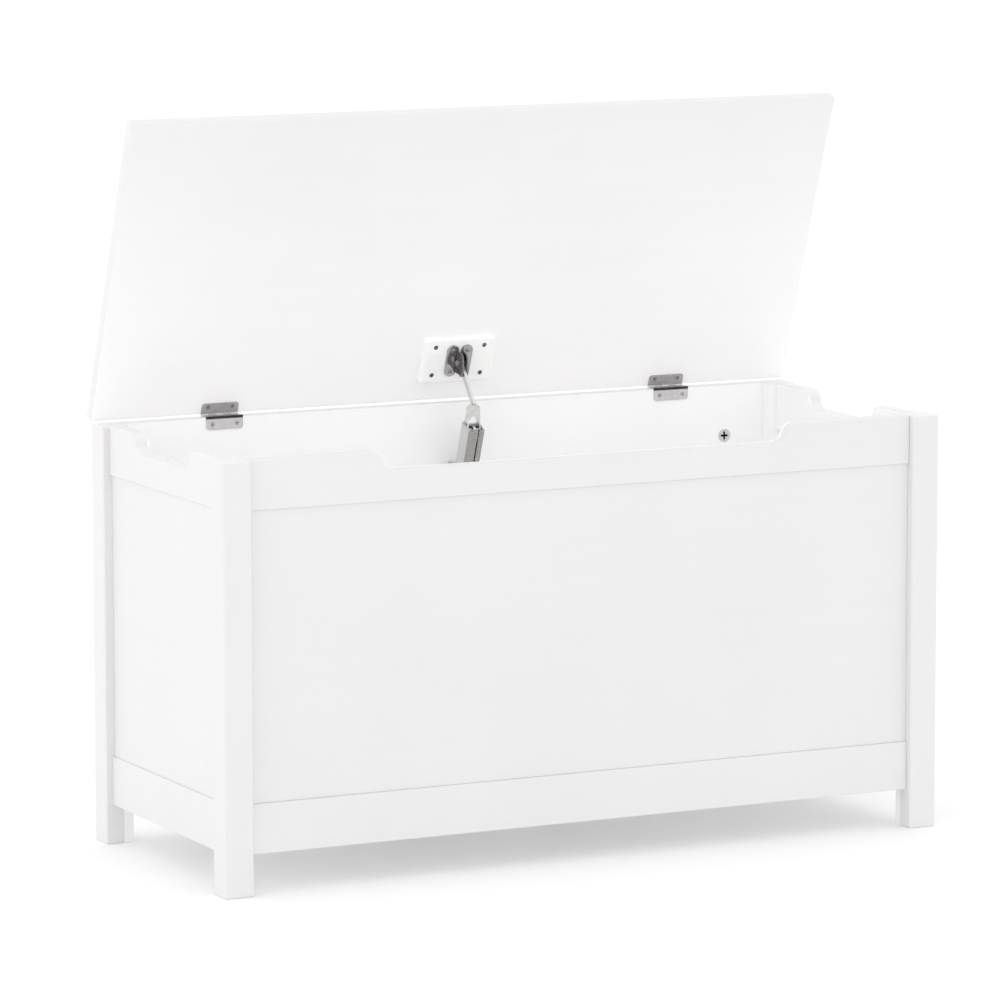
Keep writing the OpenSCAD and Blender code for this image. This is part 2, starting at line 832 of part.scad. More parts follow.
module clevis_pin() {
    side = clevis_gap / 2 + clevis_t;
    color(steel) {
        lid_bar(stay_x - side, stay_x + side, pivot_n, pivot_d, pivot_pin_d);
        for (x = [-side - 1.3, side]) lid_bar(stay_x + x, stay_x + x + 1.3, pivot_n, pivot_d, 7);
    }
}

// the bar ends in a flat web; two flanges hold the knee pin and the hook pin
module stay_arm() {
    bar_dn = [arm_end_d - pivot_d, arm_end_n - pivot_n];
    web_dn = [web_low_d - arm_end_d, web_low_n - arm_end_n];
    bar_l = norm(bar_dn);
    web_l = norm(web_dn);
    color(steel) difference() {
        union() {
            lid_slab(stay_x - arm_t / 2, stay_x + arm_t / 2) {
                translate([pivot_n, pivot_d]) circle(d = arm_w);
                translate([arm_end_n, arm_end_d]) circle(d = arm_w);
                translate([pivot_n, pivot_d]) rotate(atan2(bar_dn[0], bar_dn[1]))
                    translate([0, -arm_w / 2]) square([bar_l, arm_w]);
            }
            lid_frame() translate([stay_x, -arm_end_n, arm_end_d])
                rotate([-atan2(web_dn[1], -web_dn[0]), 0, 0]) web(web_l);
            for (s = [-1, 1])
                lid_slab(stay_x + s * (yoke_w / 2 - yoke_t / 2) - yoke_t / 2,
                    stay_x + s * (yoke_w / 2 - yoke_t / 2) + yoke_t / 2) flange_outline();
        }
        lid_bar(stay_x - yoke_w, stay_x + yoke_w, pivot_n, pivot_d, pivot_pin_d + pin_slack);
        lid_bar(stay_x - yoke_w, stay_x + yoke_w, knee_n, knee_d, stay_pin_d + pin_slack);
        lid_bar(stay_x - yoke_w, stay_x + yoke_w, hook_n, hook_d, stay_pin_d);
    }
}

// the web, hanging down from the end of the bar, with shoulders and an arched notch
module web(l) {
    shoulder = 5;
    notch_r = 4.2;
    notch_up = 0.5;
    translate([0, yoke_t / 2, 0]) rotate([90, 0, 0]) linear_extrude(yoke_t) difference() {
        polygon([
            [-arm_t / 2, arm_w / 2], [arm_t / 2, arm_w / 2], [arm_t / 2, 0],
            [yoke_w / 2, -shoulder], [yoke_w / 2, -l], [-yoke_w / 2, -l],
            [-yoke_w / 2, -shoulder], [-arm_t / 2, 0]
        ]);
        translate([0, -l + notch_up]) circle(notch_r);
        translate([-notch_r, -l - over]) square([2 * notch_r, notch_up + over]);
    }
}

// outline of a flange of the arm, as [n, d]
module flange_outline() {
    polygon([
        [63.5, 14], [65, 14], [68.8, 6], [73.9, -4.3], [70, -7.7], [61.9, -2.8], [61.8, 0.5]
    ]);
    translate([knee_n, knee_d]) circle(knuckle_r);
    translate([hook_n, hook_d]) circle(knuckle_r);
}

module hook_pin() {
    color(steel) lid_bar(stay_x - yoke_w / 2, stay_x + yoke_w / 2, hook_n, hook_d, stay_pin_d);
}

// a folded channel: two sides, a slit front, a lowered back and a bridge for the spring
module stay_channel() {
    half = channel_w / 2;
    color(steel) difference() {
        union() {
            for (s = [-1, 1])
                lid_slab(stay_x + s * (half - channel_t / 2) - channel_t / 2,
                    stay_x + s * (half - channel_t / 2) + channel_t / 2) side_outline();
            lid_slab(stay_x - half, stay_x + half) {
                translate([channel_front_n - channel_t, channel_low])
                    square([channel_t, channel_front_top - channel_low]);
                translate([channel_back_n, channel_low + 8])
                    square([channel_t, channel_back_top - channel_low - 8]);
                translate([channel_back_n, bridge_top - bridge_t])
                    square([channel_front_n - channel_back_n, bridge_t]);
            }
        }
        lid_slab(stay_x + slit_x - slit_w / 2, stay_x + slit_x + slit_w / 2)
            translate([channel_front_n - channel_t - over, channel_low - over])
                square([channel_t + 2 * over, channel_top - channel_low + 2 * over]);
        lid_frame() translate([stay_x, -hook_n, bridge_top - 2 * bridge_t])
            cylinder(d = rod_d + 0.6, h = 3 * bridge_t);
        lid_bar(stay_x - yoke_w, stay_x + yoke_w, knee_n, knee_d, stay_pin_d);
        lid_bar(stay_x - yoke_w, stay_x + yoke_w, base_n, base_d, base_pin_d + 2 * base_slack);
    }
}

// outline of a side of the channel, as [n, d]: a strip with a lug at the lower pivot
module side_outline() {
    polygon([
        [channel_back_n, channel_low], [channel_front_n, channel_low],
        [channel_front_n, channel_front_top], [channel_slope_n, channel_top],
        [channel_back_n, channel_top]
    ]);
    translate([base_n, base_d]) circle(lug_r);
    translate([base_n, base_d - lug_r]) square([channel_back_n - base_n + 1, 2 * lug_r]);
}

module knee_pin() {
    half = channel_w / 2;
    color(steel) {
        lid_bar(stay_x - half, stay_x + half, knee_n, knee_d, stay_pin_d);
        for (x = [-half - 0.8, half]) lid_bar(stay_x + x, stay_x + x + 0.8, knee_n, knee_d, 4.6);
    }
}

// the rod hangs by an eye on the hook pin and carries the collar that lifts the spring
module pull_rod() {
    color(steel) lid_frame() translate([stay_x, -hook_n, 0]) {
        difference() {
            translate([-rod_d / 2, 0, hook_d]) rotate([0, 90, 0]) cylinder(r = eye_out, h = rod_d);
            translate([-rod_d, 0, hook_d]) rotate([0, 90, 0]) cylinder(r = eye_in, h = 2 * rod_d);
        }
        translate([0, 0, rod_low]) cylinder(d = rod_d, h = hook_d - rod_low - eye_in - 0.6);
        translate([0, 0, collar_top - collar_t]) cylinder(d = collar_d, h = collar_t);
    }
}

// one ring for each coil of the spring, joined by a thin seam along its back
module stay_spring() {
    top = bridge_top - bridge_t;
    len = top - collar_top;
    pitch = (len - wire_d) / spring_turns;
    mid_r = (spring_d - wire_d) / 2;
    color(steel) lid_frame() translate([stay_x, -hook_n, 0]) {
        for (i = [0:spring_turns]) translate([0, 0, collar_top + wire_d / 2 + i * pitch])
            rotate_extrude() translate([mid_r, 0]) circle(d = wire_d, $fn = 16);
        translate([0, mid_r, collar_top + wire_d / 2])
            cylinder(d = wire_d * 0.6, h = len - wire_d, $fn = 16);
    }
}

// a bracket screwed to the back board, its two ears around the lower pivot
module stay_bracket() {
    color(steel) difference() {
        union() {
            translate([stay_x, back_y, base_z + (bracket_high - bracket_low) / 2])
                rotate([90, 0, 0]) linear_extrude(bracket_t)
                    round_rect(bracket_w, bracket_low + bracket_high, bracket_corner);
            for (s = [-1, 1]) translate([stay_x + s * (bracket_ear_x + bracket_t / 2)
                - bracket_t / 2, base_y, base_z]) rotate([90, 0, 90]) linear_extrude(bracket_t) {
                circle(bracket_ear_r);
                translate([0, -bracket_ear_r]) square([back_y - base_y - 0.5, 2 * bracket_ear_r]);
            }
        }
        at_bracket_screws() translate([0, 0, -over]) cylinder(d = screw_d, h = 2 * bracket_t);
        translate([stay_x - yoke_w, base_y, base_z]) rotate([0, 90, 0])
            cylinder(d = base_pin_d, h = 2 * yoke_w);
    }
}

module stay_bracket_screws() {
    color(steel) at_bracket_screws() pan_screw(screw_d, screw_head, 1.6, hinge_screw_l);
}

module stay_bracket_pin() {
    half = channel_w / 2 + 0.4;
    color(steel) {
        translate([stay_x - half, base_y, base_z]) rotate([0, 90, 0])
            cylinder(d = base_pin_d, h = 2 * half);
        for (x = [-half - 1, half]) translate([stay_x + x, base_y, base_z]) rotate([0, 90, 0])
            cylinder(d = 9, h = 1);
    }
}

post_front_left();
post_front_right();
post_back_left();
post_back_right();
front_top_rail();
front_panel();
front_bottom_rail();
left_top_rail();
left_panel();
left_bottom_rail();
right_top_rail();
right_panel();
right_bottom_rail();
back_board();
floor_panel();
batten_front();
batten_back();
batten_left();
batten_right();
dowels();
cam_locks();
cam_bolts();
batten_screws();
floor_screws();
hinge_box_leaf_left();
hinge_box_leaf_right();
hinge_pins();
hinge_box_screws();
stay_bracket();
stay_bracket_screws();
stay_bracket_pin();
lid_board();
hinge_lid_leaf_left();
hinge_lid_leaf_right();
hinge_lid_screws();
stay_plate();
stay_plate_screws();
clevis_left();
clevis_right();
clevis_screws();
clevis_pin();
stay_arm();
hook_pin();
stay_channel();
knee_pin();
pull_rod();
stay_spring();
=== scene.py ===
"""White wooden toy box with a hinged lid and a spring lid stay: finishes, the coiled spring,
soft studio light, a plain floor and the camera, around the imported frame."""

import math

import bpy
import numpy as np
from mathutils import Matrix, Vector


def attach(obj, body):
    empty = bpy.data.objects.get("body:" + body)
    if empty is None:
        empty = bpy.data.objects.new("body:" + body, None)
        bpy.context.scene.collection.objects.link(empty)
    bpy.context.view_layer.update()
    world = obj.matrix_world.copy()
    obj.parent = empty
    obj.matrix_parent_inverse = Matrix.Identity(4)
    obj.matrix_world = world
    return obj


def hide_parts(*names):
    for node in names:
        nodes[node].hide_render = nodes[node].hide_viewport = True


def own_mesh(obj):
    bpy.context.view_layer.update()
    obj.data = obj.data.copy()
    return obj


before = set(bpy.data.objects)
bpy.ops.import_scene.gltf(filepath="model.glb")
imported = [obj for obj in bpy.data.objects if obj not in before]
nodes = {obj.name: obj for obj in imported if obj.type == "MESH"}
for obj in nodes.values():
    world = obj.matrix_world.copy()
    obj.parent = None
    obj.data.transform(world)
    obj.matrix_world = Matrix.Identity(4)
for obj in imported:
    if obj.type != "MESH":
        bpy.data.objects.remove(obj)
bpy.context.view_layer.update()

MM = 0.001

# The open lid's frame: its lean from upright and the hinge pin's place, in metres
LID_LEAN = math.radians(20)
PIN_Y = 193.1 * MM
PIN_Z = 505.15 * MM
STAY_X = 4.5 * MM


# ---- small helpers for node materials

def new_material(name):
    """An empty material with a principled shader wired to its output."""
    material = bpy.data.materials.new(name)
    material.use_nodes = True
    tree = material.node_tree
    tree.nodes.clear()
    out = tree.nodes.new("ShaderNodeOutputMaterial")
    shader = tree.nodes.new("ShaderNodeBsdfPrincipled")
    tree.links.new(shader.outputs[0], out.inputs[0])
    return material, tree, shader


def add(tree, kind, inputs=None, **settings):
    """A node of this kind; inputs holds values or the sockets that feed them."""
    node = tree.nodes.new(kind)
    for key, value in settings.items():
        setattr(node, key, value)
    for key, value in (inputs or {}).items():
        if isinstance(value, bpy.types.NodeSocket):
            tree.links.new(value, node.inputs[key])
        else:
            node.inputs[key].default_value = value
    return node


def math_node(tree, operation, a, b=0.0, clamp=False):
    """The result socket of one arithmetic step on a and b."""
    node = add(tree, "ShaderNodeMath", {0: a, 1: b}, operation=operation, use_clamp=clamp)
    return node.outputs[0]


def blend_colour(tree, share, low, high):
    """A colour going from low to high as share goes from 0 to 1."""
    node = add(tree, "ShaderNodeMix", data_type="RGBA")
    for socket, value in ((node.inputs["Factor"], share), (node.inputs[6], low),
                          (node.inputs[7], high)):
        if isinstance(value, bpy.types.NodeSocket):
            tree.links.new(value, socket)
        else:
            socket.default_value = (*value, 1.0) if isinstance(value, tuple) else value
    return node.outputs[2]


def spread(tree, value, low, high, out_low, out_high):
    """value carried from low..high to out_low..out_high, held at both ends."""
    node = add(tree, "ShaderNodeMapRange", {"Value": value, "From Min": low, "From Max": high,
                                            "To Min": out_low, "To Max": out_high})
    return node.outputs["Result"]


def own_coordinates(tree, turn_x=0.0, scale=(1.0, 1.0, 1.0)):
    """The piece's own coordinates, turned about X and stretched."""
    place = add(tree, "ShaderNodeTexCoord").outputs["Object"]
    return add(tree, "ShaderNodeMapping", {"Vector": place, "Rotation": (turn_x, 0.0, 0.0),
                                           "Scale": scale}).outputs["Vector"]


def noise(tree, vector, scale, detail=2.0, roughness=0.5):
    """A noise value between 0 and 1 at the places given by vector."""
    return add(tree, "ShaderNodeTexNoise", {"Vector": vector, "Scale": scale, "Detail": detail,
                                            "Roughness": roughness}).outputs[0]


def bump(tree, height, strength, distance, below=None):
    """A normal from a height map, on top of another normal if one is given."""
    inputs = {"Height": height, "Strength": strength, "Distance": distance}
    if below is not None:
        inputs["Normal"] = below
    return add(tree, "ShaderNodeBump", inputs).outputs["Normal"]


def even_place(tree):
    """The piece's own coordinates as they are."""
    return add(tree, "ShaderNodeTexCoord").outputs["Object"]


# ---- finishes

# half sizes of the box outside, and of the space between its inner faces
HALF_X, HALF_Y, HALF_Z = 470.0 * MM, 193.0 * MM, 252.0 * MM
INNER_X, INNER_FRONT, INNER_BACK, INNER_TOP = 446.7 * MM, -169.7 * MM, 178.5 * MM, 503.7 * MM
# how far a tone takes to change from one face to the next
FACE_STEP, TOP_STEP = 0.5 * MM, 0.3 * MM
# how far from the outer planes grime reaches, and where it is full
GRIME_REACH, GRIME_FULL = 3.0 * MM, 0.5 * MM

# the lid board in its own frame
LID_PIN = Matrix.Rotation(-LID_LEAN, 3, "X") @ Vector((0.0, PIN_Y, PIN_Z))
LID_GAP, LID_THICK, LID_LENGTH, LID_HALF_X = 1.15 * MM, 15.0 * MM, 386.0 * MM, 470.0 * MM
HINGE_EDGE_LOW, HINGE_EDGE_HIGH = 1.6 * MM, 2.0 * MM

# painted light and shade in the lacquer: it is one white, but each face gets a white of its own so
# that all sides read as one white under the even sky; outer faces darker, inner faces lighter,
# edges and lid their own
GRIME = (0.77, 0.755, 0.735)
TINT_LOW, TINT_HIGH = 0.985, 1.008
OUTSIDE_SHADED_WHITE = (0.782, 0.773, 0.773)
INSIDE_LIT_WHITE = (0.962, 0.959, 0.958)
LID_LOW_LIT_WHITE = (0.978, 0.971, 0.971)
LID_TOP_SHADED_WHITE = (0.822, 0.814, 0.816)
TOP_STRIP_SHADED_WHITE = (0.82, 0.815, 0.815)
EDGE_UP_LIT_WHITE = (0.825, 0.818, 0.818)
HINGE_EDGE_SHADED_WHITE = (0.80, 0.795, 0.795)


def inside_box(tree):
    """1 on the faces that look into the box and 0 on its outer faces and top edges: the
    product of one step for each side of the space inside."""
    across, deep, high = add(tree, "ShaderNodeSeparateXYZ", {0: even_place(tree)}).outputs
    off = math_node(tree, "ABSOLUTE", across)
    share = 1.0
    walls = ((off, INNER_X, INNER_X + FACE_STEP), (deep, INNER_BACK, INNER_BACK + FACE_STEP),
             (deep, INNER_FRONT, INNER_FRONT - FACE_STEP), (high, INNER_TOP - TOP_STEP, INNER_TOP))
    for axis, full, none in walls:
        share = math_node(tree, "MULTIPLY", step_down(tree, axis, full, none), share)
    return share


def step_down(tree, value, full, none):
    """1 on the side of full, falling to 0 on the side of none."""
    if full < none:
        return spread(tree, value, full, none, 1.0, 0.0)
    return spread(tree, value, none, full, 0.0, 1.0)


def up_the_lid(tree):
    """0 at the hinged edge of the lid, going to 1 at its free edge: the share of the darker
    painted white on the lid's inner face.
    """
    height = add(tree, "ShaderNodeSeparateXYZ", {0: own_coordinates(tree, -LID_LEAN)}).outputs[2]
    return spread(tree, height, LID_PIN.z, LID_PIN.z + LID_LENGTH, 0.0, 1.0)


def lid_outside(tree):
    """1 on the outer face and the edges of the lid and 0 on its inner face, from the depth
    of a place in the lid's own frame."""
    deep = add(tree, "ShaderNodeSeparateXYZ", {0: own_coordinates(tree, -LID_LEAN)}).outputs[1]
    face = LID_PIN.y + LID_GAP
    return spread(tree, deep, face + TOP_STEP, face + TOP_STEP + FACE_STEP, 0.0, 1.0)


def facing_up(tree):
    """1 on the edges that face up and 0 on upright faces, from the height of the normal: where
    painted light, a lighter white, goes.
    """
    normal = add(tree, "ShaderNodeTexCoord").outputs["Normal"]
    up = add(tree, "ShaderNodeSeparateXYZ", {0: normal}).outputs[2]
    return spread(tree, up, 0.25, 0.7, 0.0, 1.0)


def hinge_edge(tree):
    """1 on the eased hinge edge of the lid, where it nearly meets the back board; the darker white
    laid there is painted shade.
    """
    height = add(tree, "ShaderNodeSeparateXYZ", {0: own_coordinates(tree, -LID_LEAN)}).outputs[2]
    return spread(tree, height, LID_PIN.z + HINGE_EDGE_LOW, LID_PIN.z + HINGE_EDGE_HIGH,
                  1.0, 0.0)


def top_strip(tree):
    """1 on the top edge of the back board, which catches light from the lid; the darker white laid
    there is painted shade.
    """
    high = add(tree, "ShaderNodeSeparateXYZ", {0: even_place(tree)}).outputs[2]
    return spread(tree, high, INNER_TOP - 4 * TOP_STEP, INNER_TOP - TOP_STEP, 0.0, 1.0)


def near_planes(tree, place, middle, half):
    """1 close to the outer corners of a block and 0 on its faces: how near a place is to
    two of the three pairs of outer planes, added up."""
    axes = add(tree, "ShaderNodeSeparateXYZ", {0: place}).outputs
    near = 0.0
    for axis, centre, reach in zip(axes, middle, half):
        off = math_node(tree, "ABSOLUTE", math_node(tree, "SUBTRACT", axis, centre))
        close = spread(tree, off, reach - GRIME_REACH, reach - GRIME_FULL, 0.0, 1.0)
        near = math_node(tree, "ADD", close, near)
    return spread(tree, near, 1.2, 2.0, 0.0, 1.0)


def box_corners(tree):
    """The outer corners of the box."""
    return near_planes(tree, even_place(tree), (0.0, 0.0, HALF_Z), (HALF_X, HALF_Y, HALF_Z))


def lid_corners(tree):
    """The outer corners of the lid board, in the lid's own frame."""
    middle = (0.0, LID_PIN.y + LID_GAP + LID_THICK / 2, LID_PIN.z + LID_LENGTH / 2)
    return near_planes(tree, own_coordinates(tree, -LID_LEAN), middle,
                       (LID_HALF_X, LID_THICK / 2, LID_LENGTH / 2))


def drifting(tree, tone, tint):
    """A tint that goes from slightly darker to slightly lighter with tone."""
    darker = tuple(c * TINT_LOW for c in tint)
    lighter = tuple(min(1.0, c * TINT_HIGH) for c in tint)
    return blend_colour(tree, tone, darker, lighter)


def white_lacquer(name, stretch, turn_x=0.0, outside=OUTSIDE_SHADED_WHITE, inside=INSIDE_LIT_WHITE,
                  where=inside_box, corners=box_corners, around=()):
    """Sprayed white lacquer on smooth board: faint fibres along the board, a fine spray
    texture, slow drifts of tone and of gloss, softer gloss where hands rub and a little
    grime on the outer corners. Its base colour also holds painted light and shade: one white
    on the outer faces and another on the inner faces, split by where, and more whites over
    the masks in around."""
    material, tree, shader = new_material(name)
    even = own_coordinates(tree, turn_x)
    along = own_coordinates(tree, turn_x, stretch)
    fibres = noise(tree, along, 55.0, 5.0, 0.6)
    spray = noise(tree, even, 1400.0, 2.0, 0.55)
    drift = noise(tree, even, 5.0, 3.0, 0.5)
    rubbed = noise(tree, even, 38.0, 4.0, 0.65)
    tone = math_node(tree, "ADD", math_node(tree, "MULTIPLY", fibres, 0.35),
                     math_node(tree, "MULTIPLY", drift, 0.65))
    tone = spread(tree, tone, 0.35, 0.65, 0.0, 1.0)
    # painted light and shade: a darker white on the outer faces and a lighter white on the inner
    # faces
    clean = blend_colour(tree, where(tree), drifting(tree, tone, outside),
                         drifting(tree, tone, inside))
    # painted light and shade: further whites of their own laid over the masks in around
    for mask, tint in around:
        clean = blend_colour(tree, mask(tree), clean, drifting(tree, tone, tint))
    edges = math_node(tree, "MULTIPLY", corners(tree),
                      spread(tree, rubbed, 0.35, 0.65, 0.1, 0.6))
    tree.links.new(blend_colour(tree, edges, clean, GRIME), shader.inputs["Base Color"])
    gloss = math_node(tree, "ADD", math_node(tree, "MULTIPLY", drift, 0.4),
                      math_node(tree, "MULTIPLY", rubbed, 0.6))
    tree.links.new(spread(tree, gloss, 0.3, 0.7, 0.36, 0.5), shader.inputs["Roughness"])
    fibre_relief = bump(tree, fibres, 0.16, 0.0002)
    tree.links.new(bump(tree, spray, 0.10, 0.00006, fibre_relief), shader.inputs["Normal"])
    shader.inputs["IOR"].default_value = 1.46
    shader.inputs["Specular IOR Level"].default_value = 0.45
    return material


def steel(name, colour, roughness, stretch=(1.0, 1.0, 1.0), turn_x=0.0, mottle=0.12,
          brushed=0.2):
    """Plated steel: rolling marks along one way, cloudy plating and fine scratches."""
    material, tree, shader = new_material(name)
    even = own_coordinates(tree, turn_x)
    along = own_coordinates(tree, turn_x, stretch)
    marks = noise(tree, along, 900.0, 4.0, 0.7)
    clouds = noise(tree, even, 130.0, 4.0, 0.6)
    specks = noise(tree, even, 900.0, 3.0, 0.6)
    dull = tuple(c * (1 - mottle) for c in colour)
    bright = tuple(min(1.0, c * (1 + mottle)) for c in colour)
    share = math_node(tree, "ADD", math_node(tree, "MULTIPLY", clouds, 0.6),
                      math_node(tree, "MULTIPLY", marks, 0.4))
    tree.links.new(blend_colour(tree, spread(tree, share, 0.32, 0.68, 0.0, 1.0), dull, bright),
                   shader.inputs["Base Color"])
    tree.links.new(spread(tree, specks, 0.3, 0.7, roughness * 0.8, roughness * 1.3),
                   shader.inputs["Roughness"])
    tree.links.new(bump(tree, marks, brushed, 0.00003), shader.inputs["Normal"])
    shader.inputs["Metallic"].default_value = 1.0
    return material, tree, shader


def bare_wood(name, stretch):
    """Unpainted beech: fine flecks along the grain over slow bands of tone."""
    material, tree, shader = new_material(name)
    along = own_coordinates(tree, 0.0, stretch)
    bands = noise(tree, along, 30.0, 3.0, 0.6)
    flecks = noise(tree, along, 160.0, 5.0, 0.7)
    base = blend_colour(tree, spread(tree, bands, 0.3, 0.7, 0.0, 1.0),
                        (0.52, 0.37, 0.22), (0.66, 0.50, 0.32))
    tree.links.new(blend_colour(tree, spread(tree, flecks, 0.55, 0.8, 0.0, 0.7), base,
                                (0.34, 0.21, 0.11)), shader.inputs["Base Color"])
    tree.links.new(spread(tree, flecks, 0.2, 0.8, 0.5, 0.68), shader.inputs["Roughness"])
    tree.links.new(bump(tree, flecks, 0.3, 0.0002), shader.inputs["Normal"])
    return material


def moulded_white(name):
    """White moulded plastic with a faint matt grain."""
    material, tree, shader = new_material(name)
    even = own_coordinates(tree)
    grain = noise(tree, even, 2600.0, 2.0, 0.5)
    drift = noise(tree, even, 45.0, 3.0, 0.5)
    tree.links.new(blend_colour(tree, spread(tree, drift, 0.3, 0.7, 0.0, 1.0),
                                (0.965, 0.964, 0.960), (0.98, 0.979, 0.976)),
                   shader.inputs["Base Color"])
    tree.links.new(spread(tree, drift, 0.3, 0.7, 0.24, 0.34), shader.inputs["Roughness"])
    tree.links.new(bump(tree, grain, 0.12, 0.00004), shader.inputs["Normal"])
    return material


def wear(names, material):
    """Gives the CAD nodes this finish."""
    for name in names:
        mesh = nodes[name].data
        mesh.materials.clear()
        mesh.materials.append(material)


WELD_REACH = 0.01 * MM
FLAT_ANGLE = 0.2
FACE_WEIGHT = 80


def soften(names, width, segments=2, angle=25.0):
    """Rounds the edges of CAD nodes: their loose triangles are welded first."""
    for name in names:
        obj = nodes[name]
        weld = obj.modifiers.new("weld", "WELD")
        weld.merge_threshold = WELD_REACH
        plain = obj.modifiers.new("plain_faces", "DECIMATE")
        plain.decimate_type = "DISSOLVE"
        plain.angle_limit = math.radians(FLAT_ANGLE)
        edge = obj.modifiers.new("eased_edge", "BEVEL")
        edge.width = width
        edge.segments = segments
        edge.limit_method = "ANGLE"
        edge.angle_limit = math.radians(angle)
        edge.harden_normals = False
        even = obj.modifiers.new("flat_faces", "WEIGHTED_NORMAL")
        even.weight = FACE_WEIGHT


ACROSS = ["front_top_rail", "front_panel", "front_bottom_rail", "back_board", "floor_panel",
          "batten_front", "batten_back"]
DEEP = ["left_top_rail", "left_panel", "left_bottom_rail", "right_top_rail", "right_panel",
        "right_bottom_rail", "batten_left", "batten_right"]
UPRIGHT = ["post_front_left", "post_front_right", "post_back_left", "post_back_right"]

wear(ACROSS, white_lacquer("lacquer_along_width", (0.06, 1.0, 1.0)))
# painted shade: a darker white on the top edge of the back board
wear(["back_board"], white_lacquer("lacquer_on_back_board", (0.06, 1.0, 1.0),
                                   around=((top_strip, TOP_STRIP_SHADED_WHITE),)))
# painted light: the edges that face up get a lighter white than the outer faces
UP_EDGE_PAINTED_LIGHT = ((facing_up, EDGE_UP_LIT_WHITE),)
wear(DEEP, white_lacquer("lacquer_along_depth", (1.0, 0.06, 1.0), around=UP_EDGE_PAINTED_LIGHT))
wear(UPRIGHT, white_lacquer("lacquer_upright", (1.0, 1.0, 0.06), around=UP_EDGE_PAINTED_LIGHT))
# painted light and shade on the lid: its inner face fades from a lighter white at the hinge to a
# darker white at the free edge
wear(["lid_board"], white_lacquer("lacquer_on_lid", (0.06, 1.0, 1.0), -LID_LEAN, LID_LOW_LIT_WHITE,
                                  LID_TOP_SHADED_WHITE, up_the_lid, lid_corners,
                                  ((lid_outside, OUTSIDE_SHADED_WHITE),
                                   (hinge_edge, HINGE_EDGE_SHADED_WHITE))))
wear(["dowels"], bare_wood("beech_dowels", (0.1, 0.1, 1.0)))
wear(["stay_plate"], moulded_white("moulded_plate"))

bright_zinc = steel("bright_zinc", (0.60, 0.60, 0.61), 0.30)[0]
# painted shade: the lid leaves get a darker steel than the box leaves, for the shade on them as
# they face down and forward
lid_leaf_shaded_steel = steel("lid_leaf_shaded_steel", (0.52, 0.505, 0.505), 0.5, (1.0, 0.1, 0.1),
                       -LID_LEAN, 0.16)[0]
dark_screw = steel("dark_screw", (0.20, 0.20, 0.20), 0.4)[0]
arm_steel = steel("arm_steel", (0.70, 0.70, 0.69), 0.28, (1.0, 0.2, 0.2), -LID_LEAN, 0.06)[0]

wear(["cam_bolts", "batten_screws", "floor_screws", "hinge_pins", "knee_pin",
      "hook_pin", "clevis_pin", "pull_rod", "stay_bracket", "stay_bracket_screws",
      "stay_bracket_pin", "stay_spring"], bright_zinc)
wear(["hinge_lid_leaf_left", "hinge_lid_leaf_right"], lid_leaf_shaded_steel)
wear(["stay_plate_screws"], dark_screw)
wear(["clevis_screws"], steel("clevis_screw", (0.36, 0.355, 0.355), 0.3)[0])
wear(["stay_arm"], arm_steel)


# the ears of the clevis, as distances from the middle plane of the stay
EAR_NEAR, EAR_FAR = 3.9 * MM, 6.0 * MM
CHANNEL_FRONT = 79.9 * MM


def clevis_steel_dark_reflection():
    """Pressed steel, brighter on the feet, with a painted dark reflection on the ears: dark and
    mottled there, the darkness falling off with the distance from the middle plane of the stay."""
    material, tree, shader = steel("clevis_steel_dark_reflection", (0.47, 0.47, 0.47), 0.12, mottle=0.10,
                                   brushed=0.08)
    place = add(tree, "ShaderNodeTexCoord").outputs["Object"]
    x = add(tree, "ShaderNodeSeparateXYZ", {0: place}).outputs[0]
    off = math_node(tree, "ABSOLUTE", math_node(tree, "SUBTRACT", x, STAY_X))
    # painted dark reflection: the ears are darkened by their distance from the middle plane
    ear_reflection_share = spread(tree, off, EAR_NEAR, EAR_FAR, 1.0, 0.0)
    clouds = noise(tree, place, 420.0, 5.0, 0.7)
    dark = blend_colour(tree, spread(tree, clouds, 0.3, 0.7, 0.0, 1.0), (0.16, 0.155, 0.152),
                        (0.27, 0.263, 0.26))
    base = shader.inputs["Base Color"].links[0].from_socket
    tree.links.new(blend_colour(tree, ear_reflection_share, base, dark), shader.inputs["Base Color"])
    return material


def channel_steel_shaded_front():
    """Folded strip steel: bright sides, and painted shade that makes the rolled front face darker.
    """
    material, tree, shader = steel("channel_steel_shaded_front", (0.66, 0.66, 0.665), 0.27,
                                   (1.0, 1.0, 0.06), -LID_LEAN, 0.05)
    turned = own_coordinates(tree, -LID_LEAN)
    depth = add(tree, "ShaderNodeSeparateXYZ", {0: turned}).outputs[1]
    front = LID_PIN.y - CHANNEL_FRONT
    front_shade_share = spread(tree, depth, front - TOP_STEP, front + TOP_STEP, 1.0, 0.0)
    base = shader.inputs["Base Color"].links[0].from_socket
    tree.links.new(blend_colour(tree, front_shade_share, base, (0.43, 0.425, 0.42)),
                   shader.inputs["Base Color"])
    return material


# where painted shade darkens the cam recesses and the bend of the box leaves
CAM_BACK_FACE, CAM_FRONT_FACE, CAM_STEP = 178.6 * MM, -166.8 * MM, 0.6 * MM
BEND_LOW, BEND_HIGH, BEND_FRONT, BEND_BACK = 501.2 * MM, 502.2 * MM, 178.0 * MM, 178.6 * MM


